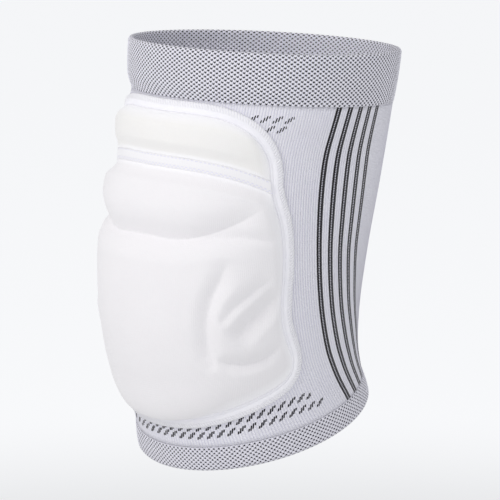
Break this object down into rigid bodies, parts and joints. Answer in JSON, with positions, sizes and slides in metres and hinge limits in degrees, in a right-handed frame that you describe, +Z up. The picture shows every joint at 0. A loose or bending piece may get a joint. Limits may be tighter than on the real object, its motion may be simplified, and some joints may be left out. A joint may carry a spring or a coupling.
{
  "type": "volleyball knee pad",
  "caption": "Knitted tubular sleeve with thick patterned cuffs and a moulded foam pad over the kneecap, shown in its worn shape to cushion a knee.",
  "frame": {"origin": "middle of the knee: centre of the sleeve's section at the kneecap, where the leg holds it", "axes": "+Z up the leg, -Y out of the kneecap, X across the knee"},
  "size_m": [0.1336, 0.156, 0.2064],
  "materials": {
    "sleeve_knit": "fine vertical rib knit with dark side stripes",
    "cuff_knit": "dense black and white birdseye knit",
    "pad_cloth": "smooth matte stretch cloth over moulded foam",
    "upper_pad_cloth": "smooth matte stretch cloth, slightly warmer",
    "border_cloth": "flat overlocked seam, finely stitched"
  },
  "bodies": {
    "root": {"sleeve_body": "sleeve_knit", "top_cuff": "cuff_knit", "bottom_cuff": "cuff_knit", "lower_pad": "pad_cloth", "upper_pad": "upper_pad_cloth", "panel_hem": "border_cloth", "pad_border": "border_cloth"}
  },
  "joints": []
}
